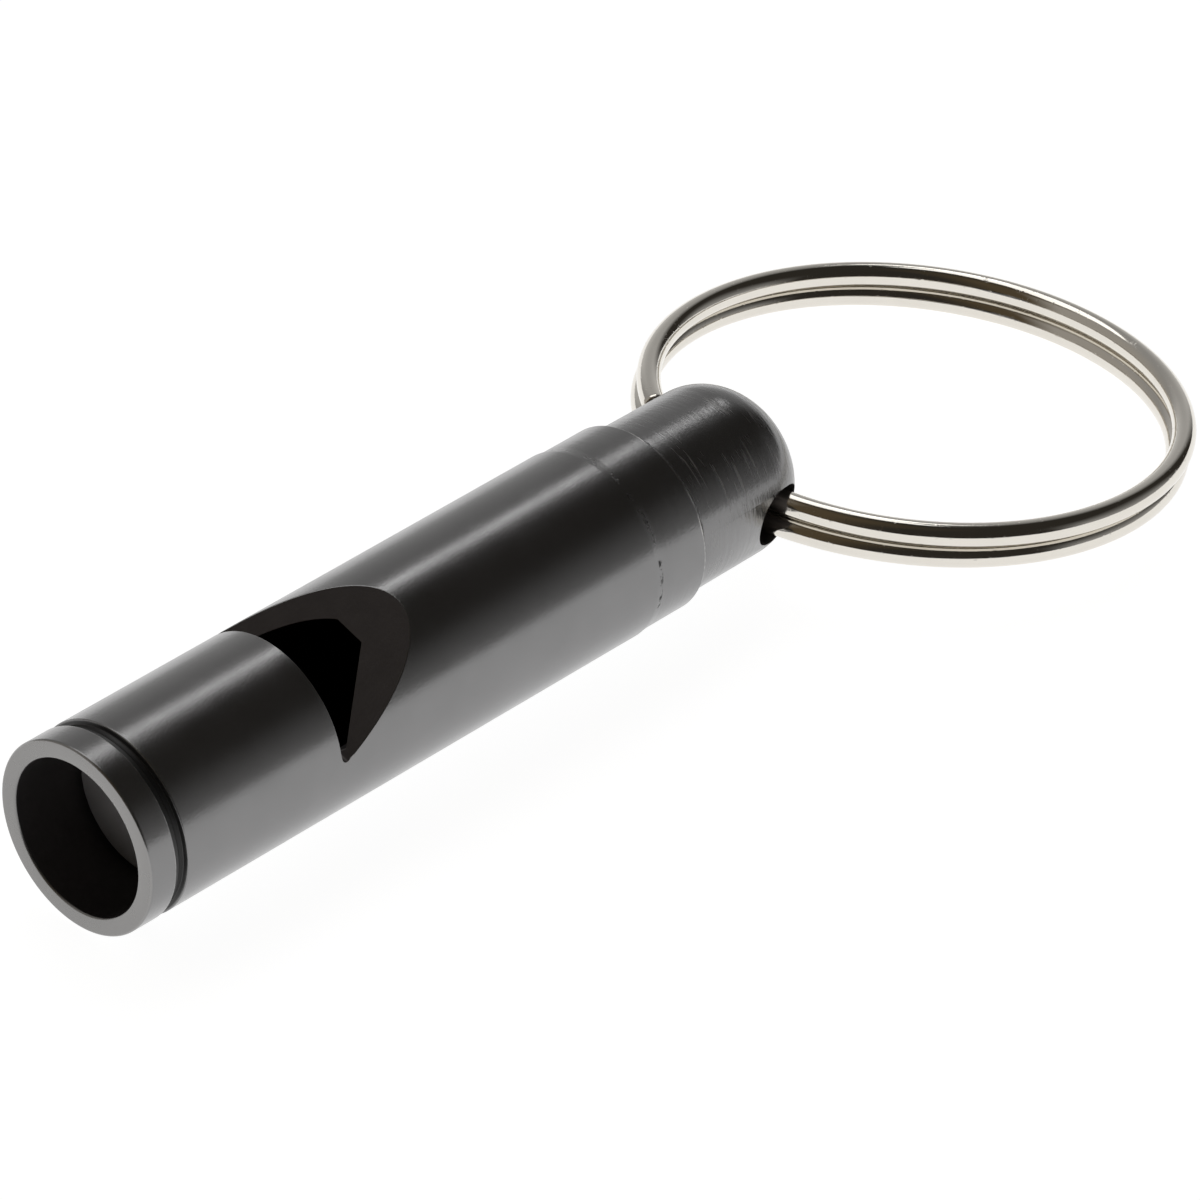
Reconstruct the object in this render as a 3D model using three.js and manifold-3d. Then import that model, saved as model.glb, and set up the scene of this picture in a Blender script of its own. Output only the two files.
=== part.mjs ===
// Pocket signal whistle: a turned aluminium tube with a domed tail, a pressed-in windway plug
// and a two-turn split ring through the tail. Millimetres, +Z up, lying on the plane z = 0.
// The whistle points along +X from its mouth to its tail. The origin is the middle of the
// footprint of whistle and ring together, on that plane.

import * as THREE from "three";
import { mergeVertices } from "three/addons/utils/BufferGeometryUtils.js";
import Module from "manifold-3d";

const manifoldLibrary = await Module();
manifoldLibrary.setup();
const { Manifold, Mesh: ManifoldMesh } = manifoldLibrary;

// ---- Driving dimensions. Places along the whistle are measured from its mouth. ----

const BODY_RADIUS = 4.5;
const BODY_LENGTH = 41.8;
const BORE_RADIUS = 3.65;
const BORE_DEPTH = 33.5;
const RIM_CHAMFER = 0.12;

const GROOVE_START = 1.45; // the ring groove behind the lip
const GROOVE_END = 2.1;
const GROOVE_DEPTH = 0.25;

const BAND_START = 30.7; // a finer turned band ahead of the shoulder
const BAND_RADIUS = 4.43;
const SHOULDER_START = 33.5; // the shoulder drops to the neck at 45 degrees
const NECK_RADIUS = 4.1;
const DOME_START = 38.6;
const DOME_RADIUS = 4.07;

const WINDOW_START = 11.15; // the upright wall of the window
const RAMP_BASE = 1.67; // height of the ramp above the axis at that wall
const RAMP_ANGLE = THREE.MathUtils.degToRad(24.2);
const WINDOW_ROLL = THREE.MathUtils.degToRad(18.7); // the window leans towards -Y

const PLUG_FRONT = 3.6; // how far the plug sits inside the mouth
const PLUG_CLEARANCE = 0.03;
const WINDWAY_FLOOR = 2.55; // height of the plug's flat above the axis

const HOLE_X = 39.14; // the cross hole through the tail, along Y
const HOLE_DROP = 0.66; // how far it lies below the axis
const HOLE_RADIUS = 1.5;
const HOLE_SKEW = THREE.MathUtils.degToRad(1.7); // how far it turns from Y, seen from above

const WIRE_RADIUS = 0.55;
const COIL_RADIUS = 12.1; // to the middle of the wire
const COIL_CENTRE_X = 51.05;
const COIL_OFFSET_Y = -0.95; // the coil hangs this far to one side of the whistle's axis
const COIL_TILT = THREE.MathUtils.degToRad(6.4); // its far side dips to the table
const TURN_GAP = 0.03; // between the two turns of wire
const TURN_SHIFT = 0.11; // the low turn sits this far to one side, the high turn to the other
const CROSSING_START = THREE.MathUtils.degToRad(146); // where the wire steps between turns
const CROSSING_END = THREE.MathUtils.degToRad(174);

const BODY_SEGMENTS = 56; // a multiple of four, so that a corner lies on each axis
const HOLE_SEGMENTS = 32;
const DOME_STEPS = 12;
const COIL_STEPS = 108;
const WIRE_SIDES = 12;
const OVERSHOOT = 1; // how far a cutter reaches past what it cuts

// ---- Derived sizes ----

const TURN_OFFSET = WIRE_RADIUS + TURN_GAP / 2;
const COIL_CENTRE_Z =
  COIL_RADIUS * Math.sin(COIL_TILT) + TURN_OFFSET * Math.cos(COIL_TILT) + WIRE_RADIUS;
const TOTAL_LENGTH =
  COIL_CENTRE_X + COIL_RADIUS * Math.cos(COIL_TILT) + TURN_OFFSET * Math.sin(COIL_TILT) + WIRE_RADIUS;

// ---- Materials ----

const anodised = new THREE.MeshStandardMaterial({ color: 0x2b2a2a, roughness: 0.42, metalness: 0.85 });
const plastic = new THREE.MeshStandardMaterial({ color: 0x1e1d1c, roughness: 0.7, metalness: 0 });
const nickel = new THREE.MeshStandardMaterial({ color: 0xb9b2a4, roughness: 0.18, metalness: 1 });

// ---- Solids ----

function toSolid(geometry) {
  const bare = geometry.clone();
  bare.deleteAttribute("normal");
  bare.deleteAttribute("uv");
  const merged = mergeVertices(bare, 1e-5);
  const solid = new ManifoldMesh({
    numProp: 3,
    vertProperties: new Float32Array(merged.attributes.position.array),
    triVerts: new Uint32Array(merged.index.array),
  });
  return new Manifold(solid);
}

function toGeometry(solid) {
  const { vertProperties, triVerts } = solid.getMesh();
  const geometry = new THREE.BufferGeometry();
  geometry.setAttribute("position", new THREE.BufferAttribute(new Float32Array(vertProperties), 3));
  geometry.setIndex(new THREE.BufferAttribute(new Uint32Array(triVerts), 1));
  geometry.computeVertexNormals();
  return geometry;
}

// Turns a profile of [distance along the whistle, radius] about the X axis.
function turned(profile) {
  const points = profile.map(([along, radius]) => new THREE.Vector2(radius, along));
  return new THREE.LatheGeometry(points, BODY_SEGMENTS).rotateZ(-Math.PI / 2);
}

function turnedRod(start, end, radius) {
  return turned([[start, 0], [start, radius], [end, radius], [end, 0]]);
}

function domeArc() {
  const points = [];
  for (let step = 0; step < DOME_STEPS; step += 1) {
    const angle = (Math.PI / 2) * (step / DOME_STEPS);
    const along = DOME_START + (BODY_LENGTH - DOME_START) * Math.sin(angle);
    points.push([along, DOME_RADIUS * Math.cos(angle)]);
  }
  return [...points, [BODY_LENGTH, 0]];
}

function bodyOutline() {
  return [
    [0, 0],
    [0, BODY_RADIUS - RIM_CHAMFER],
    [RIM_CHAMFER, BODY_RADIUS],
    [GROOVE_START, BODY_RADIUS],
    [GROOVE_START, BODY_RADIUS - GROOVE_DEPTH],
    [GROOVE_END, BODY_RADIUS - GROOVE_DEPTH],
    [GROOVE_END, BODY_RADIUS],
    [BAND_START, BODY_RADIUS],
    [BAND_START, BAND_RADIUS],
    [SHOULDER_START, BAND_RADIUS],
    [SHOULDER_START + BAND_RADIUS - NECK_RADIUS, NECK_RADIUS],
    ...domeArc(),
  ];
}

// A wedge with an upright face towards the mouth and a ramp that rises towards the tail.
function windowCutter() {
  const top = BODY_RADIUS + OVERSHOOT;
  const rampRun = (top - RAMP_BASE) / Math.tan(RAMP_ANGLE);
  const side = new THREE.Shape();
  side.moveTo(WINDOW_START, RAMP_BASE);
  side.lineTo(WINDOW_START + rampRun, top);
  side.lineTo(WINDOW_START, top);
  side.closePath();
  const width = 2 * top;
  const wedge = new THREE.ExtrudeGeometry(side, { depth: width, bevelEnabled: false });
  return wedge.translate(0, 0, -width / 2).rotateX(Math.PI / 2).rotateX(WINDOW_ROLL);
}

function crossHoleCutter() {
  const length = 2 * (BODY_RADIUS + OVERSHOOT);
  const hole = new THREE.CylinderGeometry(HOLE_RADIUS, HOLE_RADIUS, length, HOLE_SEGMENTS);
  return hole.rotateZ(-HOLE_SKEW).translate(HOLE_X, 0, -HOLE_DROP);
}

function whistleBodyGeometry() {
  const body = toSolid(turned(bodyOutline()))
    .subtract(toSolid(turnedRod(-OVERSHOOT, BORE_DEPTH, BORE_RADIUS)))
    .subtract(toSolid(windowCutter()))
    .subtract(toSolid(crossHoleCutter()));
  return toGeometry(body);
}

// A round plug with one flat. The flat and the bore above it form the windway.
function windwayPlugGeometry() {
  const plugLength = WINDOW_START - PLUG_FRONT;
  const height = BODY_RADIUS - WINDWAY_FLOOR;
  const above = new THREE.BoxGeometry(plugLength + 2 * OVERSHOOT, 2 * BODY_RADIUS, height);
  above.translate(PLUG_FRONT + plugLength / 2, 0, WINDWAY_FLOOR + height / 2);
  const rod = toSolid(turnedRod(PLUG_FRONT, WINDOW_START, BORE_RADIUS - PLUG_CLEARANCE));
  return toGeometry(rod.subtract(toSolid(above))).rotateX(WINDOW_ROLL);
}

// The middle of the wire: one turn low, a step up across the crossing, one turn high.
class SplitRingCurve extends THREE.Curve {
  getPoint(t, target = new THREE.Vector3()) {
    const fullTurn = 2 * Math.PI;
    const end = CROSSING_START + 2 * fullTurn;
    const angle = THREE.MathUtils.lerp(CROSSING_END, end, t);
    const rise = THREE.MathUtils.smoothstep(angle, CROSSING_START + fullTurn, CROSSING_END + fullTurn);
    const side = 2 * rise - 1;
    const across = COIL_RADIUS * Math.sin(angle) - TURN_SHIFT * side;
    return target.set(COIL_RADIUS * Math.cos(angle), across, TURN_OFFSET * side);
  }
}

function splitRingGeometry() {
  const section = new THREE.Shape();
  section.absarc(0, 0, WIRE_RADIUS, 0, 2 * Math.PI);
  const wire = new THREE.ExtrudeGeometry(section, {
    steps: COIL_STEPS,
    curveSegments: WIRE_SIDES / 2,
    extrudePath: new SplitRingCurve(),
  });
  return toGeometry(toSolid(wire));
}

// ---- Assembly ----

function namedMesh(name, geometry, material) {
  const mesh = new THREE.Mesh(geometry, material);
  mesh.name = name;
  return mesh;
}

const whistle = new THREE.Group();
whistle.add(namedMesh("whistle_body", whistleBodyGeometry(), anodised));
whistle.add(namedMesh("windway_plug", windwayPlugGeometry(), plastic));
whistle.position.set(-TOTAL_LENGTH / 2, -COIL_OFFSET_Y, BODY_RADIUS);

const splitRing = namedMesh("split_ring", splitRingGeometry(), nickel);
splitRing.position.set(COIL_CENTRE_X - TOTAL_LENGTH / 2, 0, COIL_CENTRE_Z);
splitRing.rotation.y = COIL_TILT;

const model = new THREE.Group();
model.add(whistle);
model.add(splitRing);

export default model;
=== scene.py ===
"""Looks for the pocket signal whistle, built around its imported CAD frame.

The tube, the windway plug and the split ring are each rebuilt as one smooth, finely detailed mesh in
the same place and at the same size as the CAD node that it stands for. Lengths below are millimetres,
measured along the whistle from its mouth, and become metres where a mesh is made.
"""

import math

import bmesh
import bpy
from mathutils import Matrix, Vector


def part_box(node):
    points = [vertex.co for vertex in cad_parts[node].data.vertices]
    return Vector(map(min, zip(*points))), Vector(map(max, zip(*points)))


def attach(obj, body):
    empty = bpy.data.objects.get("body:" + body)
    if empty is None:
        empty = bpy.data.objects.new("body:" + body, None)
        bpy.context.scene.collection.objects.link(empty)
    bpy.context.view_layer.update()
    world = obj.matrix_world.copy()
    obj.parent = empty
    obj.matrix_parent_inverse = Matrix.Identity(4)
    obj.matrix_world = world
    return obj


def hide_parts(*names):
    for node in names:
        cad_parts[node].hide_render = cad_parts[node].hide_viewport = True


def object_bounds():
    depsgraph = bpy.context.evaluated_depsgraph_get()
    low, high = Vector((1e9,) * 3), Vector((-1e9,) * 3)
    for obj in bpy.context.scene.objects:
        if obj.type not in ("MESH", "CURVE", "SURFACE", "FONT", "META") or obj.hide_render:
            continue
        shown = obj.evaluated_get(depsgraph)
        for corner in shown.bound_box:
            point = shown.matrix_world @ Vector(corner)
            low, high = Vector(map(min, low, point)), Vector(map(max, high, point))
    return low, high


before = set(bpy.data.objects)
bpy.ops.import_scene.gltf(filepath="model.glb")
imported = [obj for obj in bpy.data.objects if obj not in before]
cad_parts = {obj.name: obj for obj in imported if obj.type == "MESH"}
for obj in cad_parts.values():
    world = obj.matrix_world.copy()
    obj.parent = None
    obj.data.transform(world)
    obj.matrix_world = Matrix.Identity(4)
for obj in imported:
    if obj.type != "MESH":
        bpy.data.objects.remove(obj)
cad_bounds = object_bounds()

MM = 0.001
FULL_TURN = 2 * math.pi

# ---- Driving dimensions, as in the CAD part ----

RADIUS = 4.5
LENGTH = 41.8
BORE_RADIUS = 3.65
BORE_DEPTH = 33.5
RIM_CHAMFER = 0.12

GROOVE_START = 1.45
GROOVE_END = 2.1
GROOVE_DEPTH = 0.25

BAND_START = 30.7
BAND_RADIUS = 4.43
SHOULDER_START = 33.5
NECK_RADIUS = 4.1
NECK_START = SHOULDER_START + BAND_RADIUS - NECK_RADIUS  # the shoulder falls at 45 degrees
DOME_START = 38.6
DOME_RADIUS = 4.07

WINDOW_START = 11.15
WINDOW_ROLL = math.radians(18.7)
RAMP_BASE = 1.67
RAMP_ANGLE = math.radians(24.2)

PLUG_FRONT = 3.6
PLUG_CLEARANCE = 0.03
WINDWAY_FLOOR = 2.55

HOLE_X = 39.14
HOLE_DROP = 0.66
HOLE_RADIUS = 1.5
HOLE_SKEW = math.radians(1.7)

WIRE_RADIUS = 0.55
COIL_RADIUS = 12.1
COIL_CENTRE_X = 51.05
COIL_TILT = math.radians(6.4)
TURN_GAP = 0.03
TURN_SHIFT = 0.11
CROSSING_START = math.radians(146)
CROSSING_END = math.radians(174)

OVERSHOOT = 1.0  # how far a cutter reaches past what it cuts

# ---- Finer detail, only in the looks ----

BORE_CHAMFER = 0.07
GROOVE_BREAK = 0.05  # radius of the groove's broken edges
GROOVE_RIDGE = 0.05  # the groove was cut in two passes, which left a step this high in its floor
BAND_FADE = 0.25  # the step down to the band is spread this far to each side
SHOULDER_ROUNDING = 0.045  # radius at the two edges of the shoulder
STRIP = 0.03  # a strip beside each turned edge keeps the shading of the long faces straight

CUTTER_CORNER = 0.26  # radius of the milling cutter's corner, left at the foot of the ramp
WINDOW_END = 18.5  # just past the place where the ramp comes out
NEAR_FLAT = 3.327  # the near side of the ramp's edge runs straight, this far from the axis
NEAR_FLAT_TURN = math.radians(26)  # and this far round from the middle of the window
NEAR_FLAT_END = math.radians(36.5)  # where it stops, just outside the bore
TOP_FLAT = 3.493  # a shorter straight piece, at the middle of the window, joins it to the round part
FLATS_END = 16.2
FLATS_STEP = 0.02  # length of the step between the round bore and the flats

PLUG_CHAMFER = 0.18
SPLAY = 0.13  # extra gap between the two turns where they leave the hole
SPLAY_REACH = math.radians(40)
WIRE_BREAK = 0.08  # chamfer at the wire's cut ends

EDGE_ROUNDING = 0.035  # on the milled and drilled edges
STEEP_EDGE = math.radians(32)  # rounded wherever it is
SHALLOW_EDGE = math.radians(12)  # rounded only where a cutter has been
SHARP_EDGE = math.radians(48)  # still steeper than this once rounded: shaded as a sharp edge
MERGE_SHARE = 1.6  # corners closer than this many roundings become one
LEAST_EDGE = 0.002
TIP_WALL = 0.4  # the window's tips lie in the wall, at least this far outside the bore,
TIP_REACH = 0.6  # this near the window's upright wall
TIP_HEIGHT = 0.45  # and no higher than this above the foot of the ramp

BODY_SEGMENTS = 224
PLUG_SEGMENTS = 128
HOLE_SEGMENTS = 96
DOME_STEPS = 34
WIRE_STEPS = 460
WIRE_SIDES = 28

# ---- Colours, in linear light ----

TURNED_DARK = (0.213, 0.212, 0.213, 1)
TURNED_LIGHT = (0.248, 0.246, 0.247, 1)
RIM_COLOUR = (0.31, 0.305, 0.30, 1)
# painted shade: the groove's sunk floor is coloured near black for the shadow in it
GROOVE_SHADE_COLOUR = (0.06, 0.06, 0.06, 1)
# painted highlight along the shoulder's edge and the groove's front edge
EDGE_HIGHLIGHT_COLOUR = (0.50, 0.495, 0.49, 1)
# near black: painted shade in the nicks along the band's step and behind the shoulder
NICK_SHADE_COLOUR = (0.03, 0.03, 0.03, 1)
SCRATCH_COLOUR = (0.27, 0.268, 0.266, 1)
MILLED_DARK = (0.075, 0.068, 0.068, 1)
MILLED_LIGHT = (0.105, 0.096, 0.095, 1)
PLASTIC_DARK = (0.130, 0.124, 0.124, 1)
PLASTIC_LIGHT = (0.175, 0.168, 0.168, 1)
NICKEL_DARK = (0.72, 0.685, 0.625, 1)
NICKEL_LIGHT = (0.78, 0.75, 0.69, 1)
TABLE_COLOUR = (0.30, 0.30, 0.30, 1)
ROOM_DARK = (0.028, 0.025, 0.021, 1)
ROOM_WARM = (0.080, 0.061, 0.037, 1)
WHITE = (1, 1, 1, 1)

# ---- Studio and camera ----

TABLE_RADIUS = 3000.0
TABLE_GLOW = 0.95  # keeps the table white and the shadows on it soft
HORIZON_LEVEL = 0.31
HORIZON_HEIGHT = 0.6  # share of straight up at which the horizon's glow has faded
BACKDROP_LEVEL = 0.27
LAMP_DISTANCE = 0.6  # metres

CAMERA_AIM = Vector((-2.12, -0.79, 2.89))
CAMERA_DISTANCE = 380.0
CAMERA_AZIMUTH = -47.228  # the camera's right-hand direction, in degrees from +X
CAMERA_ELEVATION = 34.494
CAMERA_ROLL = 1.2706
CAMERA_LENS = 262.61
CAMERA_SENSOR = 36.0

# ---- Places, from the frame ----

body_low, body_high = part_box("whistle_body")
ring_low, ring_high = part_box("split_ring")
MOUTH = Vector((body_low.x, (body_low.y + body_high.y) / 2, (body_low.z + body_high.z) / 2))
RING_CENTRE = Vector((
    MOUTH.x + COIL_CENTRE_X * MM,
    (ring_low.y + ring_high.y) / 2,
    (ring_low.z + ring_high.z) / 2,
))


# ---- Mesh tools ----

def arc(centre, radius, start, end, steps):
    """Points of a circular arc, angles in degrees."""
    points = []
    for step in range(steps + 1):
        angle = math.radians(start + (end - start) * step / steps)
        points.append((centre[0] + radius * math.cos(angle), centre[1] + radius * math.sin(angle)))
    return points


def wrapped(angle):
    """The same angle, between minus and plus half a turn."""
    return (angle + math.pi) % FULL_TURN - math.pi


def rotate(bm, angle, axis):
    bmesh.ops.rotate(bm, cent=(0, 0, 0), matrix=Matrix.Rotation(angle, 3, axis), verts=bm.verts[:])


def new_object(name, bm, origin):
    """Makes an object from a bmesh in millimetres."""
    bmesh.ops.recalc_face_normals(bm, faces=bm.faces[:])
    bmesh.ops.scale(bm, vec=(MM, MM, MM), verts=bm.verts[:])
    mesh = bpy.data.meshes.new(name)
    bm.to_mesh(mesh)
    bm.free()
    obj = bpy.data.objects.new(name, mesh)
    bpy.context.scene.collection.objects.link(obj)
    obj.location = origin
    return obj


def turned(profile, segments):
    """A closed bmesh turned about X from a profile of (along, radius) that starts and ends on the axis.

    A radius is a length, or a function of the angle from +Z towards +Y.
    """
    bm = bmesh.new()
    tip, *rings, tail = profile
    first = bm.verts.new((tip[0], 0, 0))
    last = bm.verts.new((tail[0], 0, 0))
    loops = []
    for along, radius in rings:
        loop = []
        for index in range(segments):
            angle = FULL_TURN * index / segments
            size = radius(angle) if callable(radius) else radius
            loop.append(bm.verts.new((along, size * math.sin(angle), size * math.cos(angle))))
        loops.append(loop)
    for index in range(segments):
        after = (index + 1) % segments
        bm.faces.new((first, loops[0][index], loops[0][after]))
        bm.faces.new((last, loops[-1][after], loops[-1][index]))
        for front, back in zip(loops, loops[1:]):
            bm.faces.new((front[index], back[index], back[after], front[after]))
    return bm


def prism(outline, length, start):
    """A closed bmesh: an outline of (y, z) points, drawn out along X."""
    bm = bmesh.new()
    front = [bm.verts.new((start, y, z)) for y, z in outline]
    back = [bm.verts.new((start + length, y, z)) for y, z in outline]
    bm.faces.new(front)
    bm.faces.new(back[::-1])
    for index in range(len(outline)):
        after = (index + 1) % len(outline)
        bm.faces.new((front[index], front[after], back[after], back[index]))
    return bm


def subtract(obj, cutter):
    """Cuts one object from another and removes the cutter."""
    modifier = obj.modifiers.new("cut", "BOOLEAN")
    modifier.operation = "DIFFERENCE"
    modifier.solver = "EXACT"
    modifier.object = cutter
    bpy.context.view_layer.objects.active = obj
    bpy.ops.object.modifier_apply(modifier=modifier.name)
    bpy.data.objects.remove(cutter)


def at_window_tip(point):
    """The two ends of the window, where its edges run together too closely to be rounded."""
    height = point.z * math.cos(WINDOW_ROLL) - point.y * math.sin(WINDOW_ROLL)
    in_wall = math.hypot(point.y, point.z) > BORE_RADIUS + TIP_WALL
    return in_wall and abs(point.x - WINDOW_START) < TIP_REACH and height < RAMP_BASE + TIP_HEIGHT


def cut_edges(bm, near_cutters):
    """Edges left by the cutters: any steep one, and shallower ones where only a cutter makes an edge."""
    chosen = []
    for edge in bm.edges:
        if not edge.is_manifold:
            continue
        angle = edge.calc_face_angle()
        middle = (edge.verts[0].co + edge.verts[1].co) / (2 * MM)
        if at_window_tip(middle):
            continue
        if angle > STEEP_EDGE or (angle > SHALLOW_EDGE and near_cutters(middle)):
            chosen.append(edge)
    return chosen


def round_cut_edges(obj, near_cutters):
    """Gives the sharp edges left by the cutters a narrow rounding."""
    bm = bmesh.new()
    bm.from_mesh(obj.data)
    # A dict keeps the order of the corners, and with it the mesh, the same in each run.
    corners = list(dict.fromkeys(vert for edge in cut_edges(bm, near_cutters) for vert in edge.verts))
    bmesh.ops.remove_doubles(bm, verts=corners, dist=MERGE_SHARE * EDGE_ROUNDING * MM)
    bmesh.ops.dissolve_degenerate(bm, edges=bm.edges[:], dist=LEAST_EDGE * MM)
    bmesh.ops.bevel(
        bm,
        geom=cut_edges(bm, near_cutters),
        offset=EDGE_ROUNDING * MM,
        segments=2,
        profile=0.5,
        affect="EDGES",
        clamp_overlap=False,
    )
    for edge in bm.edges:
        edge.smooth = not (edge.is_manifold and edge.calc_face_angle() > SHARP_EDGE)
    bm.to_mesh(obj.data)
    bm.free()


def smooth(obj):
    """Smooth shading with weighted normals, so that flats stay flat."""
    obj.data.shade_smooth()
    weighted = obj.modifiers.new("normals", "WEIGHTED_NORMAL")
    weighted.mode = "FACE_AREA"
    weighted.weight = 50
    weighted.thresh = 0.0
    weighted.keep_sharp = True


# ---- The whistle's body ----

def dome_arc():
    points = []
    for step in range(DOME_STEPS):
        angle = math.pi / 2 * step / DOME_STEPS
        along = DOME_START + (LENGTH - DOME_START) * math.sin(angle)
        points.append((along, DOME_RADIUS * math.cos(angle)))
    return points


def groove_outline():
    """A groove with broken edges, and a floor in two levels with a small burr where they meet."""
    floor = RADIUS - GROOVE_DEPTH
    middle = (GROOVE_START + GROOVE_END) / 2
    lean = 0.02
    burr = 1.4 * GROOVE_RIDGE
    return [
        *arc((GROOVE_START - GROOVE_BREAK, RADIUS - GROOVE_BREAK), GROOVE_BREAK, 90, 10, 4),
        (GROOVE_START + lean, floor + GROOVE_BREAK),
        (GROOVE_START + GROOVE_BREAK, floor + GROOVE_RIDGE),
        (middle - 3 * lean, floor + GROOVE_RIDGE),
        (middle - lean, floor + burr),
        (middle + lean, floor),
        (GROOVE_END - STRIP, floor),
        *arc((GROOVE_END + GROOVE_BREAK, RADIUS - GROOVE_BREAK), GROOVE_BREAK, 170, 90, 4),
    ]


def body_outline():
    """The turned outline, from the middle of the mouth to the tip of the tail."""
    arc_lead = 0.4 * SHOULDER_ROUNDING  # a rounding starts this far ahead of its 45 degree corner
    band_end = SHOULDER_START - arc_lead
    neck = NECK_START + arc_lead
    return [
        (0, 0),
        (0, RADIUS - RIM_CHAMFER - STRIP),
        *arc((RIM_CHAMFER, RADIUS - RIM_CHAMFER), RIM_CHAMFER, 172, 90, 6),
        (RIM_CHAMFER + STRIP, RADIUS),
        (GROOVE_START - GROOVE_BREAK - STRIP, RADIUS),
        *groove_outline(),
        (GROOVE_END + GROOVE_BREAK + STRIP, RADIUS),
        (BAND_START - BAND_FADE - STRIP, RADIUS),
        (BAND_START - BAND_FADE, RADIUS),
        (BAND_START + BAND_FADE, BAND_RADIUS),
        (BAND_START + BAND_FADE + STRIP, BAND_RADIUS),
        (band_end - STRIP, BAND_RADIUS),
        *arc((band_end, BAND_RADIUS - SHOULDER_ROUNDING), SHOULDER_ROUNDING, 90, 45, 4),
        *arc((neck, NECK_RADIUS + SHOULDER_ROUNDING), SHOULDER_ROUNDING, 225, 270, 4),
        (neck + STRIP, NECK_RADIUS),
        *dome_arc(),
        (LENGTH, 0),
    ]


def edge_radius(angle):
    """How far the bore reaches beside the ramp, where two flats give the ramp's edge its shape."""
    from_top = wrapped(-angle - WINDOW_ROLL)
    from_near = wrapped(from_top - NEAR_FLAT_TURN)
    if 0 < from_near < NEAR_FLAT_END:
        return NEAR_FLAT / math.cos(from_near)
    radius = BORE_RADIUS
    if abs(from_near) < math.pi / 4:
        radius = min(radius, NEAR_FLAT / math.cos(from_near))
    if abs(from_top) < math.pi / 4:
        radius = min(radius, TOP_FLAT / math.cos(from_top))
    return radius


def bore_cutter():
    """The bore, with a broken edge at the mouth and the flats beside the ramp."""
    flare = BORE_CHAMFER + OVERSHOOT
    return turned([
        (-OVERSHOOT, 0),
        (-OVERSHOOT, BORE_RADIUS + flare),
        (BORE_CHAMFER, BORE_RADIUS),
        (WINDOW_START + FLATS_STEP, BORE_RADIUS),
        (WINDOW_START + 2 * FLATS_STEP, edge_radius),
        (FLATS_END, edge_radius),
        (FLATS_END + FLATS_STEP, BORE_RADIUS),
        (BORE_DEPTH, BORE_RADIUS),
        (BORE_DEPTH, 0),
    ], BODY_SEGMENTS)


def window_cutter():
    """A wedge with an upright face towards the mouth, a ramp, and the cutter's round corner between."""
    top = RADIUS + OVERSHOOT
    tangent = CUTTER_CORNER / math.tan((math.pi / 2 - RAMP_ANGLE) / 2)
    centre = (WINDOW_START + CUTTER_CORNER, RAMP_BASE + tangent)
    side = [
        (WINDOW_START, top),
        *arc(centre, CUTTER_CORNER, 180, 270 + math.degrees(RAMP_ANGLE), 8),
        (WINDOW_START + (top - RAMP_BASE) / math.tan(RAMP_ANGLE), top),
    ]
    bm = prism(side, 2 * top, -top)
    rotate(bm, -math.pi / 2, "Z")  # the outline's first axis now runs along the whistle
    rotate(bm, WINDOW_ROLL, "X")
    return bm


def hole_cutter():
    reach = RADIUS + OVERSHOOT
    bm = turned([(-reach, 0), (-reach, HOLE_RADIUS), (reach, HOLE_RADIUS), (reach, 0)], HOLE_SEGMENTS)
    rotate(bm, math.pi / 2 - HOLE_SKEW, "Z")
    bmesh.ops.translate(bm, vec=(HOLE_X, 0, -HOLE_DROP), verts=bm.verts[:])
    return bm


def mark_milled_faces(obj):
    """Gives the second material to the window, the bore and the hole."""
    slack = 0.1
    skin = 0.03  # the roundings at the outer surface keep the first material
    for face in obj.data.polygons:
        x, y, z = (value / MM for value in face.center)
        radius = math.hypot(y, z)
        from_hole = math.hypot(x - HOLE_X - y * math.tan(HOLE_SKEW), z + HOLE_DROP)
        in_window = WINDOW_START - slack < x < WINDOW_END and radius < RADIUS - skin
        in_bore = slack < x < BORE_DEPTH + slack and radius < BORE_RADIUS + slack / 2
        in_hole = from_hole < HOLE_RADIUS + slack / 5
        face.material_index = 1 if in_window or in_bore or in_hole else 0


def near_window_or_hole(point):
    slack = 0.1
    in_window = WINDOW_START - slack < point.x < WINDOW_END
    return in_window or math.hypot(point.x - HOLE_X, point.z + HOLE_DROP) < HOLE_RADIUS + 3 * slack


def make_body():
    obj = new_object("whistle_body_turned", turned(body_outline(), BODY_SEGMENTS), MOUTH)
    for name, cutter in (("bore", bore_cutter()), ("window", window_cutter()), ("hole", hole_cutter())):
        subtract(obj, new_object(name, cutter, MOUTH))
    round_cut_edges(obj, near_window_or_hole)
    smooth(obj)
    return obj


# ---- The windway plug ----

def make_plug():
    """A short rod with a chamfered front edge and a flat along its top."""
    radius = BORE_RADIUS - PLUG_CLEARANCE
    obj = new_object("windway_plug_moulded", turned([
        (PLUG_FRONT, 0),
        (PLUG_FRONT, radius - PLUG_CHAMFER),
        (PLUG_FRONT + PLUG_CHAMFER, radius),
        (WINDOW_START - PLUG_CHAMFER / 2, radius),
        (WINDOW_START, radius - PLUG_CHAMFER / 2),
        (WINDOW_START, 0),
    ], PLUG_SEGMENTS), MOUTH)
    half = 2 * RADIUS
    outline = [(-half, WINDWAY_FLOOR), (half, WINDWAY_FLOOR), (half, half), (-half, half)]
    above = prism(outline, LENGTH, -OVERSHOOT)
    rotate(above, WINDOW_ROLL, "X")
    subtract(obj, new_object("above", above, MOUTH))
    round_cut_edges(obj, lambda point: False)
    smooth(obj)
    return obj


# ---- The split ring ----

def smoothstep(value, low, high):
    share = min(max((value - low) / (high - low), 0), 1)
    return share * share * (3 - 2 * share)


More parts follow.
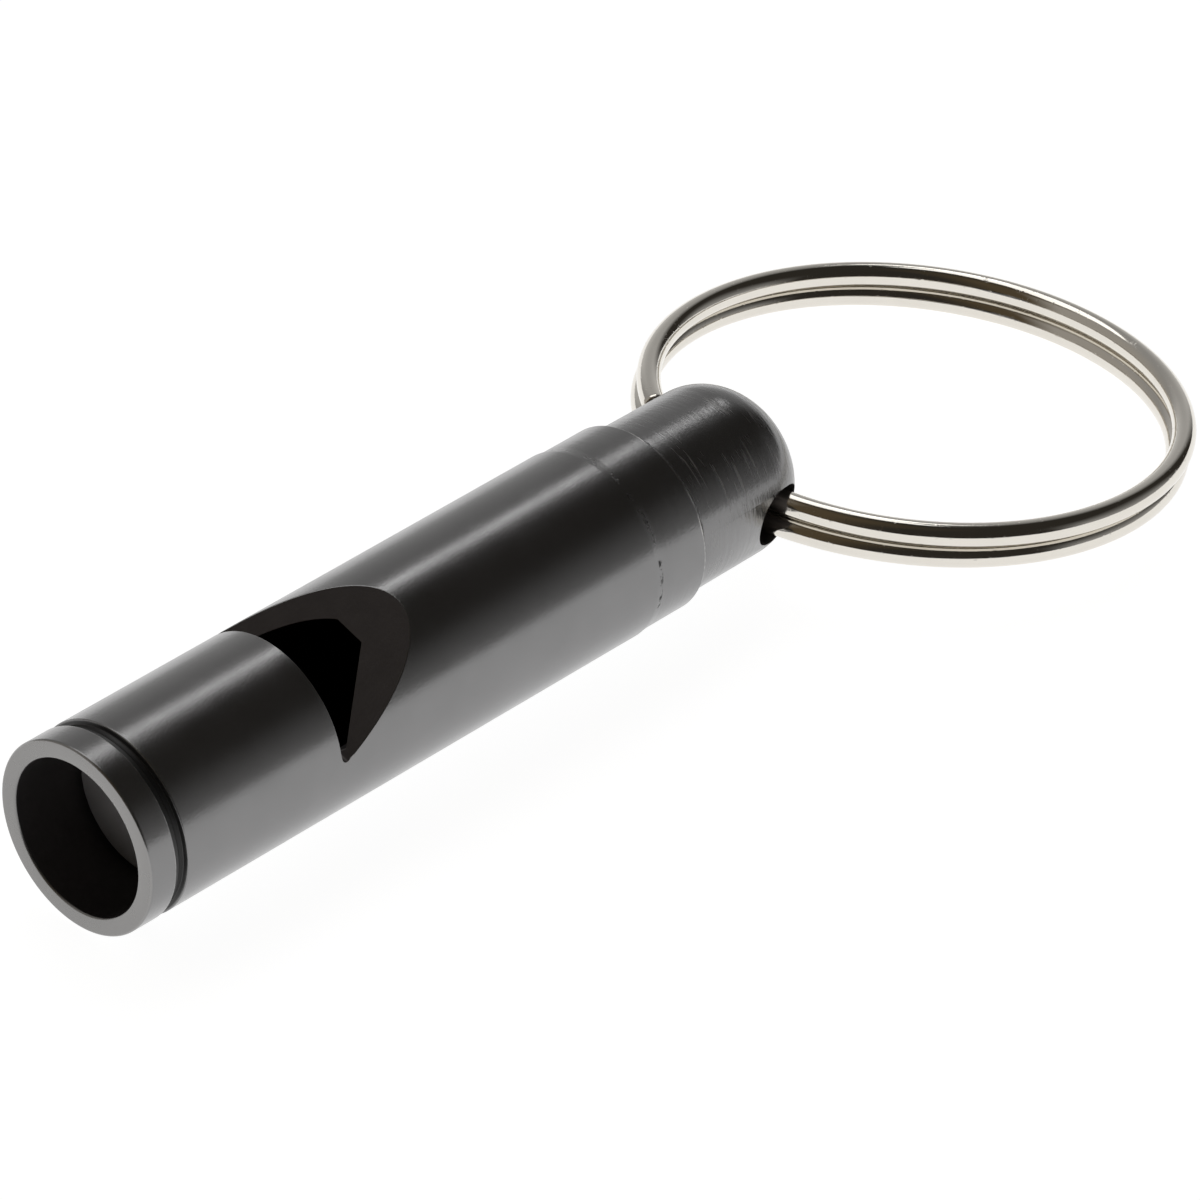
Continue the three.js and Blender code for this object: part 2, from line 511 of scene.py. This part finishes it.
def wire_point(angle):
    """The middle of the wire at an angle that runs on through both turns, in the coil's own frame."""
    rise = smoothstep(angle, CROSSING_START + FULL_TURN, CROSSING_END + FULL_TURN)
    side = 2 * rise - 1
    from_hole = (angle - math.pi) % FULL_TURN
    splay = SPLAY * max(0, 1 - from_hole / SPLAY_REACH) ** 2
    level = side * (WIRE_RADIUS + TURN_GAP / 2 + splay / 2)
    across = COIL_RADIUS * math.sin(angle) - TURN_SHIFT * side
    return Vector((COIL_RADIUS * math.cos(angle), across, level))


def wire_station(angle):
    """A place along the wire: its middle, its direction and its radius."""
    nudge = 0.002
    ahead = wire_point(angle + nudge) - wire_point(angle - nudge)
    return wire_point(angle), ahead.normalized(), WIRE_RADIUS


def wire_stations():
    """The places along the wire, with a narrower one at each cut end to break its edge."""
    start = CROSSING_END
    end = CROSSING_START + 2 * FULL_TURN
    stations = [wire_station(start + (end - start) * step / WIRE_STEPS) for step in range(WIRE_STEPS + 1)]
    first, direction, radius = stations[0]
    last, end_direction, _ = stations[-1]
    stations[0] = (first + direction * WIRE_BREAK, direction, radius)
    stations[-1] = (last - end_direction * WIRE_BREAK, end_direction, radius)
    return [
        (first, direction, radius - WIRE_BREAK),
        *stations,
        (last, end_direction, radius - WIRE_BREAK),
    ]


def wire_loop(bm, middle, along, radius):
    """One loop of points round the wire."""
    outward = Vector((middle.x, middle.y, 0)).normalized()
    across = along.cross(outward).normalized()
    outward = across.cross(along).normalized()
    loop = []
    for side in range(WIRE_SIDES):
        turn = FULL_TURN * side / WIRE_SIDES
        loop.append(bm.verts.new(middle + radius * (math.cos(turn) * outward + math.sin(turn) * across)))
    return loop


def skin_wire(bm, uv_layer, loops, lengths):
    """Joins the loops. The UV map runs along the wire and round it, in millimetres."""
    around = FULL_TURN * WIRE_RADIUS
    for index in range(len(loops) - 1):
        for side in range(WIRE_SIDES):
            after = (side + 1) % WIRE_SIDES
            face = bm.faces.new((
                loops[index][side], loops[index][after], loops[index + 1][after], loops[index + 1][side]
            ))
            low = around * side / WIRE_SIDES
            high = around * (side + 1) / WIRE_SIDES
            corners = ((index, low), (index, high), (index + 1, high), (index + 1, low))
            for corner, (row, across) in zip(face.loops, corners):
                corner[uv_layer].uv = (lengths[row], across)
    bm.faces.new(loops[0][::-1])
    bm.faces.new(loops[-1])


def make_ring():
    """Sweeps a round section along the wire."""
    bm = bmesh.new()
    uv_layer = bm.loops.layers.uv.new("UVMap")
    stations = wire_stations()
    loops = [wire_loop(bm, *station) for station in stations]
    lengths = [0.0]
    for before, after in zip(stations, stations[1:]):
        lengths.append(lengths[-1] + (after[0] - before[0]).length)
    skin_wire(bm, uv_layer, loops, lengths)
    rotate(bm, COIL_TILT, "Y")
    obj = new_object("split_ring_wire", bm, RING_CENTRE)
    smooth(obj)
    return obj


# ---- Node tools ----

def add(tree, kind, inputs=None, **settings):
    """Adds a shader node, sets it up, and links or fills its inputs."""
    made = tree.nodes.new(kind)
    for name, value in settings.items():
        setattr(made, name, value)
    for name, value in (inputs or {}).items():
        fill(tree, made.inputs[name], value)
    return made


def fill(tree, socket, value):
    """Links a socket to another one, or gives it a constant."""
    if isinstance(value, bpy.types.NodeSocket):
        tree.links.new(value, socket)
    else:
        socket.default_value = value


def new_material(name):
    material = bpy.data.materials.new(name)
    material.use_nodes = True
    tree = material.node_tree
    tree.nodes.clear()
    shader = add(tree, "ShaderNodeBsdfPrincipled")
    add(tree, "ShaderNodeOutputMaterial", {"Surface": shader.outputs["BSDF"]})
    return material, tree, shader


def millimetres(tree):
    """The object's own coordinates, in millimetres."""
    place = add(tree, "ShaderNodeTexCoord").outputs["Object"]
    scaled = add(tree, "ShaderNodeVectorMath", {0: place, "Scale": 1 / MM}, operation="SCALE")
    return scaled.outputs["Vector"]


def stretched_noise(tree, place, scale, detail, roughness=0.5, seed=0.0):
    """Noise with its own scale on each axis."""
    moved = add(tree, "ShaderNodeMapping", {
        "Vector": place, "Scale": scale, "Location": (seed, seed, seed)
    })
    noise = add(tree, "ShaderNodeTexNoise", {
        "Vector": moved.outputs["Vector"], "Scale": 1.0, "Detail": detail, "Roughness": roughness
    })
    return noise.outputs["Fac"]


def math_node(tree, operation, first, second=0.0, third=0.0):
    made = add(tree, "ShaderNodeMath", {0: first, 1: second, 2: third}, operation=operation)
    return made.outputs["Value"]


def times(tree, first, second):
    return math_node(tree, "MULTIPLY", first, second)


def larger(tree, first, second):
    return math_node(tree, "MAXIMUM", first, second)


def remap(tree, value, from_low, from_high, to_low=0.0, to_high=1.0):
    made = add(tree, "ShaderNodeMapRange", {
        "Value": value, "From Min": from_low, "From Max": from_high, "To Min": to_low, "To Max": to_high
    })
    return made.outputs["Result"]


def near_place(tree, along, place, reach):
    """One at a place along the whistle, fading to nothing at a distance from it."""
    distance = math_node(tree, "ABSOLUTE", math_node(tree, "SUBTRACT", along, place))
    return remap(tree, distance, reach, 0.5 * reach)


def mix_colour(tree, share, first, second):
    made = add(tree, "ShaderNodeMix", {"Factor": share}, data_type="RGBA")
    colours = [socket for socket in made.inputs if socket.type == "RGBA"]
    for socket, value in zip(colours, (first, second)):
        fill(tree, socket, value)
    return next(socket for socket in made.outputs if socket.type == "RGBA")


def bump(tree, height, distance, below=None):
    inputs = {"Height": height, "Distance": distance * MM, "Strength": 1.0}
    if below is not None:
        inputs["Normal"] = below
    return add(tree, "ShaderNodeBump", inputs).outputs["Normal"]


# ---- The turned surface ----

def groove_mask(tree, split):
    """The sunk floor of the groove, which is painted near black as shade."""
    across = add(tree, "ShaderNodeCombineXYZ", {"Y": split.outputs["Y"], "Z": split.outputs["Z"]})
    radius = add(tree, "ShaderNodeVectorMath", {0: across.outputs["Vector"]}, operation="LENGTH")
    sunk = remap(tree, radius.outputs["Value"], RADIUS - 0.03, RADIUS - 0.11)
    return times(tree, sunk, near_place(tree, split.outputs["X"], GROOVE_START, 1.6))


def edge_highlight_mask(tree, place, along):
    """Painted highlight: pale in broken stretches along the shoulder's edge and the groove's front edge.
    """
    breaks = stretched_noise(tree, place, (0.3, 1.1, 1.1), 4.0, 0.6, seed=17.0)
    shoulder = times(tree, near_place(tree, along, SHOULDER_START, 0.07), remap(tree, breaks, 0.4, 0.6))
    lip = times(tree, near_place(tree, along, GROOVE_START, 0.06), remap(tree, breaks, 0.5, 0.6))
    return larger(tree, shoulder, lip)


def nick_and_shade_mask(tree, place, along):
    """Small nicks along the band's step and just behind the shoulder's edge: their bump is real, their
    near black colour is painted shade.
    """
    chips = stretched_noise(tree, place, (1.6, 1.3, 1.3), 4.0, 0.7, seed=23.0)
    band = near_place(tree, along, BAND_START, 0.13)
    shoulder = near_place(tree, along, SHOULDER_START + 0.2, 0.2)
    return times(tree, larger(tree, band, shoulder), remap(tree, chips, 0.52, 0.60))


def scratch_mask(tree, place, on_neck):
    """Short fine strokes round the neck, in patches."""
    strokes = stretched_noise(tree, place, (6.5, 0.4, 0.4), 3.0, 0.6, seed=31.0)
    spread = stretched_noise(tree, place, (0.45, 0.5, 0.5), 2.0, seed=37.0)
    scratched = times(tree, remap(tree, strokes, 0.56, 0.66), remap(tree, spread, 0.45, 0.62))
    return times(tree, scratched, on_neck)


def turned_normal(tree, place, marked, nicks_and_shade):
    """A fine grain over turning marks, with deeper marks on the neck and the band."""
    grain = stretched_noise(tree, place, (9.0, 9.0, 9.0), 2.0, 0.6)
    normal = bump(tree, grain, 0.004)
    fine = stretched_noise(tree, place, (11.0, 0.3, 0.3), 2.0, 0.6, seed=3.0)
    normal = bump(tree, fine, 0.0012, below=normal)
    chatter = stretched_noise(tree, place, (4.2, 0.55, 0.55), 3.0, 0.65, seed=11.0)
    normal = bump(tree, times(tree, chatter, marked), 0.018, below=normal)
    return bump(tree, nicks_and_shade, 0.012, below=normal)


def anodised_turned():
    """Black anodised bar stock: satin, with a scratched neck and painted highlights along two edges."""
    material, tree, shader = new_material("anodised_aluminium_turned")
    place = millimetres(tree)
    split = add(tree, "ShaderNodeSeparateXYZ", {"Vector": place})
    along = split.outputs["X"]
    on_neck = remap(tree, along, SHOULDER_START, NECK_START + 0.15)
    on_band = remap(tree, along, BAND_START, BAND_START + 0.3)
    rim = remap(tree, along, 0.02, 0.1, 1.0, 0.0)
    groove = groove_mask(tree, split)
    nicks_and_shade = nick_and_shade_mask(tree, place, along)
    scratched = scratch_mask(tree, place, on_neck)

    patches = stretched_noise(tree, place, (0.5, 0.5, 0.5), 3.0)
    colour = mix_colour(tree, patches, TURNED_DARK, TURNED_LIGHT)
    colour = mix_colour(tree, rim, colour, RIM_COLOUR)
    # painted shade: the groove's sunk floor goes near black
    colour = mix_colour(tree, groove, colour, GROOVE_SHADE_COLOUR)
    # painted highlight: pale broken stretches along the shoulder's and the groove's edges
    colour = mix_colour(tree, edge_highlight_mask(tree, place, along), colour, EDGE_HIGHLIGHT_COLOUR)
    # painted shade: the nicks go near black
    colour = mix_colour(tree, nicks_and_shade, colour, NICK_SHADE_COLOUR)
    colour = mix_colour(tree, scratched, colour, SCRATCH_COLOUR)
    fill(tree, shader.inputs["Base Color"], colour)
    fill(tree, shader.inputs["Metallic"], math_node(tree, "MULTIPLY_ADD", scratched, -0.22, 0.9))

    smudges = stretched_noise(tree, place, (0.35, 0.6, 0.6), 4.0, 0.6, seed=7.0)
    satin = remap(tree, smudges, 0.3, 0.7, 0.20, 0.26)
    dulled = larger(tree, larger(tree, groove, nicks_and_shade), scratched)
    fill(tree, shader.inputs["Roughness"], math_node(tree, "MULTIPLY_ADD", dulled, 0.2, satin))

    marked = math_node(tree, "MULTIPLY_ADD", on_neck, 0.4, times(tree, on_band, 0.6))
    fill(tree, shader.inputs["Normal"], turned_normal(tree, place, marked, nicks_and_shade))
    return material


# ---- The other materials ----

def anodised_milled():
    """The milled and drilled faces: duller, darker and a little browner."""
    material, tree, shader = new_material("anodised_aluminium_milled")
    place = millimetres(tree)
    patches = stretched_noise(tree, place, (1.2, 1.2, 1.2), 3.0)
    fill(tree, shader.inputs["Base Color"], mix_colour(tree, patches, MILLED_DARK, MILLED_LIGHT))
    fill(tree, shader.inputs["Metallic"], 0.85)
    fill(tree, shader.inputs["Roughness"], 0.42)
    feed = stretched_noise(tree, place, (1.2, 6.0, 1.2), 2.0, 0.6)
    grain = stretched_noise(tree, place, (8.0, 8.0, 8.0), 2.0, 0.6)
    fill(tree, shader.inputs["Normal"], bump(tree, grain, 0.004, below=bump(tree, feed, 0.003)))
    return material


def moulded_plastic():
    material, tree, shader = new_material("black_plastic_moulded")
    place = millimetres(tree)
    patches = stretched_noise(tree, place, (1.0, 1.0, 1.0), 3.0)
    fill(tree, shader.inputs["Base Color"], mix_colour(tree, patches, PLASTIC_DARK, PLASTIC_LIGHT))
    fill(tree, shader.inputs["Roughness"], 0.55)
    texture = stretched_noise(tree, place, (7.0, 7.0, 7.0), 3.0, 0.6)
    fill(tree, shader.inputs["Normal"], bump(tree, texture, 0.006))
    return material


def nickel_plate():
    """Bright nickel on drawn wire: faint lines along the wire, small pits, and warmer patches."""
    material, tree, shader = new_material("nickel_plated_steel_wire")
    strip = add(tree, "ShaderNodeTexCoord").outputs["UV"]
    place = millimetres(tree)
    patches = stretched_noise(tree, place, (0.4, 0.4, 0.4), 3.0)
    fill(tree, shader.inputs["Base Color"], mix_colour(tree, patches, NICKEL_DARK, NICKEL_LIGHT))
    fill(tree, shader.inputs["Metallic"], 1.0)
    clouding = stretched_noise(tree, place, (0.9, 0.9, 0.9), 4.0, 0.6, seed=5.0)
    fill(tree, shader.inputs["Roughness"], remap(tree, clouding, 0.3, 0.7, 0.07, 0.13))
    lines = stretched_noise(tree, strip, (0.35, 9.0, 1.0), 2.0, 0.6)
    pits = stretched_noise(tree, place, (3.0, 3.0, 3.0), 3.0, 0.7)
    normal = bump(tree, remap(tree, pits, 0.62, 0.72), 0.004, below=bump(tree, lines, 0.0016))
    fill(tree, shader.inputs["Normal"], normal)
    return material


def pale_table():
    """A white table that glows evenly."""
    material, tree, shader = new_material("pale_table")
    fill(tree, shader.inputs["Base Color"], TABLE_COLOUR)
    fill(tree, shader.inputs["Roughness"], 0.9)
    fill(tree, shader.inputs["Specular IOR Level"], 0.0)
    fill(tree, shader.inputs["Emission Color"], WHITE)
    fill(tree, shader.inputs["Emission Strength"], TABLE_GLOW)
    return material


# ---- Stage, light and camera ----

def make_table():
    bm = bmesh.new()
    bmesh.ops.create_circle(bm, cap_ends=True, segments=96, radius=TABLE_RADIUS)
    obj = new_object("table", bm, (0, 0, cad_bounds[0][2]))
    obj.data.materials.append(pale_table())
    return obj


def studio_light(tree, split):
    """A grey backdrop behind the whistle, and a pale glow low down beyond its tail, on both sides."""
    height = split.outputs["Z"]
    sideways = math_node(tree, "ABSOLUTE", split.outputs["Y"])
    beside = times(
        tree, remap(tree, sideways, 0.15, 0.42), remap(tree, split.outputs["X"], 0.15, 0.42)
    )
    glow = times(tree, remap(tree, height, 0.0, HORIZON_HEIGHT, HORIZON_LEVEL, 0.0), beside)
    behind = remap(tree, split.outputs["Y"], 0.1, 0.35)
    below_top = remap(tree, height, 0.80, 0.95, 1.0, 0.0)
    level = math_node(tree, "MULTIPLY_ADD", times(tree, behind, below_top), BACKDROP_LEVEL, glow)
    return add(tree, "ShaderNodeCombineXYZ", {"X": level, "Y": level, "Z": level}).outputs["Vector"]


def room_colour(tree, split):
    """A dark room, warmer past the mouth and on the far side."""
    warm = times(
        tree, remap(tree, split.outputs["X"], 0.2, -0.4), remap(tree, split.outputs["Y"], -0.5, -0.1)
    )
    return mix_colour(tree, warm, ROOM_DARK, ROOM_WARM)


def make_world():
    world = bpy.data.worlds.new("studio")
    bpy.context.scene.world = world
    world.use_nodes = True
    tree = world.node_tree
    tree.nodes.clear()
    direction = add(tree, "ShaderNodeTexCoord").outputs["Generated"]
    split = add(tree, "ShaderNodeSeparateXYZ", {"Vector": direction})
    parts = {0: room_colour(tree, split), 1: studio_light(tree, split)}
    total = add(tree, "ShaderNodeVectorMath", parts, operation="ADD").outputs["Vector"]
    background = add(tree, "ShaderNodeBackground", {"Color": total, "Strength": 1.0})
    add(tree, "ShaderNodeOutputWorld", {"Surface": background.outputs["Background"]})


def toward(azimuth, elevation):
    """A unit vector at an azimuth from +X and an elevation, in degrees."""
    round_z, up = math.radians(azimuth), math.radians(elevation)
    return Vector((math.cos(up) * math.cos(round_z), math.cos(up) * math.sin(round_z), math.sin(up)))


def softbox(name, azimuth, elevation, width, height, radiance):
    """A soft rectangular lamp that faces the object."""
    data = bpy.data.lights.new(name, "AREA")
    data.shape = "RECTANGLE"
    data.size = width
    data.size_y = height
    data.energy = radiance * math.pi * width * height
    lamp = bpy.data.objects.new(name, data)
    bpy.context.scene.collection.objects.link(lamp)
    lamp.location = toward(azimuth, elevation) * LAMP_DISTANCE
    lamp.rotation_euler = (-lamp.location).to_track_quat("-Z", "Y").to_euler()


def make_camera():
    data = bpy.data.cameras.new("camera")
    data.lens = CAMERA_LENS
    data.sensor_width = CAMERA_SENSOR
    data.clip_start = 0.01
    data.clip_end = 20.0
    camera = bpy.data.objects.new("camera", data)
    bpy.context.scene.collection.objects.link(camera)
    right = toward(CAMERA_AZIMUTH, 0)
    forward = -toward(CAMERA_AZIMUTH - 90, CAMERA_ELEVATION)
    up = right.cross(forward)
    roll = math.radians(CAMERA_ROLL)
    rolled_right = math.cos(roll) * right + math.sin(roll) * up
    rolled_up = rolled_right.cross(forward)
    turn = Matrix((rolled_right, rolled_up, -forward)).transposed().to_4x4()
    place = (CAMERA_AIM - forward * CAMERA_DISTANCE) * MM
    camera.matrix_world = Matrix.Translation(place) @ turn
    bpy.context.scene.camera = camera


# ---- Putting it together ----

body = make_body()
body.data.materials.append(anodised_turned())
body.data.materials.append(anodised_milled())
mark_milled_faces(body)
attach(body, "whistle")
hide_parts("whistle_body")

plug = make_plug()
plug.data.materials.append(moulded_plastic())
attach(plug, "whistle")
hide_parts("windway_plug")

ring = make_ring()
ring.data.materials.append(nickel_plate())
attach(ring, "ring")
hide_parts("split_ring")

make_table()
make_world()
softbox("back_softbox", azimuth=62, elevation=62, width=0.40, height=0.30, radiance=1.3)
softbox("edge_strip", azimuth=32, elevation=45, width=0.08, height=0.08, radiance=2.2)
make_camera()
bpy.context.scene.view_settings.view_transform = "Standard"
